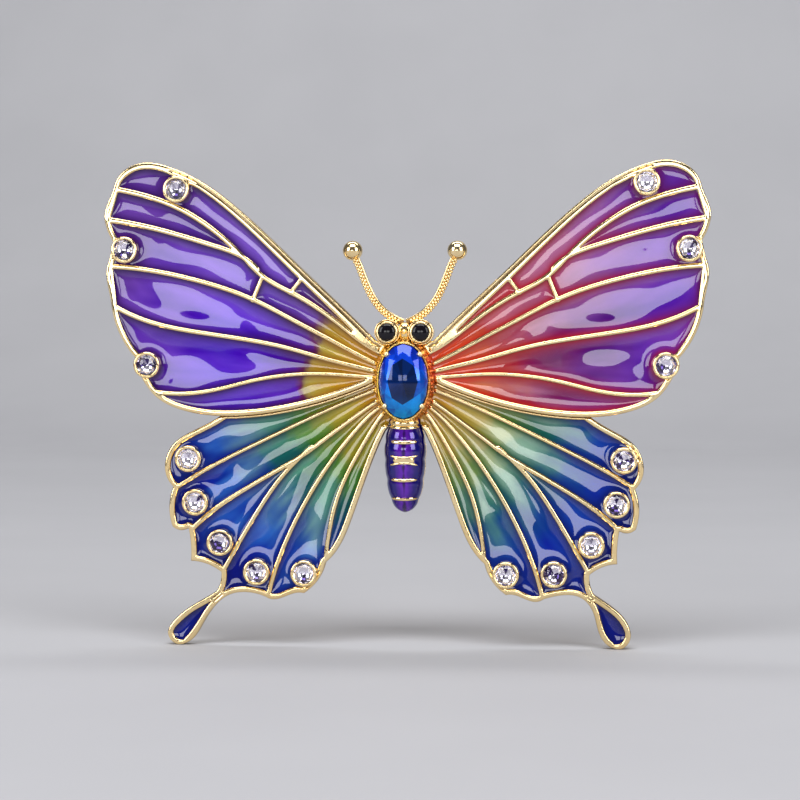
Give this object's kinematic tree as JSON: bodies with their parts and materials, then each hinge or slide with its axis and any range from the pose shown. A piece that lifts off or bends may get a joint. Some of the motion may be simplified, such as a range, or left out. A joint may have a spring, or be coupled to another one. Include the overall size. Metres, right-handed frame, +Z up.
{
  "type": "butterfly brooch",
  "caption": "Enamelled butterfly brooch with gold rims and veins, crystals in bezels, an oval stone and a bar pin with a rolling safety catch.",
  "frame": {"origin": "centre of the pin bar's rear face, which lies against the garment", "axes": "+Z is up as it is worn, towards the head and antennas; +X is to the right of a person who faces the brooch; the front looks along -Y"},
  "size_m": [0.0606, 0.0093, 0.0487],
  "materials": {
    "gold_plate": "high polish, gold plated, over a cast zinc alloy",
    "pin_metal": "gold plated, polished",
    "steel_pin": "polished, gold tinted",
    "left_forewing_enamel": "translucent glossy enamel, olive gold at the root to violet",
    "right_forewing_enamel": "translucent glossy enamel, orange red at the root to rose and violet",
    "left_hindwing_enamel": "translucent glossy enamel, gold and green at the root to royal blue",
    "right_hindwing_enamel": "translucent glossy enamel, grey yellow at the root through teal to royal blue",
    "abdomen_enamel": "translucent glossy enamel, purple in the middle and blue at the sides",
    "lilac_crystal": "faceted, foil backed, pale lilac",
    "blue_crystal": "faceted, sapphire blue",
    "black_stone": "polished black dome"
  },
  "bodies": {
    "brooch": {"left_forewing_frame": "gold_plate", "left_forewing_enamel": "left_forewing_enamel", "left_forewing_crystal_1": "lilac_crystal", "left_forewing_crystal_2": "lilac_crystal", "left_forewing_crystal_3": "lilac_crystal", "left_hindwing_frame": "gold_plate", "left_hindwing_enamel": "left_hindwing_enamel", "left_hindwing_crystal_1": "lilac_crystal", "left_hindwing_crystal_2": "lilac_crystal", "left_hindwing_crystal_3": "lilac_crystal", "left_hindwing_crystal_4": "lilac_crystal", "left_hindwing_crystal_5": "lilac_crystal", "left_antenna": "gold_plate", "left_eye_stone": "black_stone", "right_forewing_frame": "gold_plate", "right_forewing_enamel": "right_forewing_enamel", "right_forewing_crystal_1": "lilac_crystal", "right_forewing_crystal_2": "lilac_crystal", "right_forewing_crystal_3": "lilac_crystal", "right_hindwing_frame": "gold_plate", "right_hindwing_enamel": "right_hindwing_enamel", "right_hindwing_crystal_1": "lilac_crystal", "right_hindwing_crystal_2": "lilac_crystal", "right_hindwing_crystal_3": "lilac_crystal", "right_hindwing_crystal_4": "lilac_crystal", "right_hindwing_crystal_5": "lilac_crystal", "right_antenna": "gold_plate", "right_eye_stone": "black_stone", "thorax_setting": "gold_plate", "oval_stone": "blue_crystal", "head_casting": "gold_plate", "abdomen_core": "gold_plate", "abdomen_enamel": "abdomen_enamel", "pin_back_bar": "pin_metal", "hinge_rivet": "pin_metal"},
    "stem": {"pin_stem": "steel_pin"},
    "rotor": {"catch_rotor": "pin_metal"}
  },
  "joints": [
    {"name": "pin_hinge", "type": "hinge", "parent": "brooch", "child": "stem", "pos_m": [-0.0111, 0.0029, 0], "axis": [0, 0, 1], "range_deg": [0, 75]},
    {"name": "catch_lock", "type": "hinge", "parent": "brooch", "child": "rotor", "pos_m": [0.0111, 0.0029, 0], "axis": [1, 0, 0], "range_deg": [0, 100]}
  ]
}
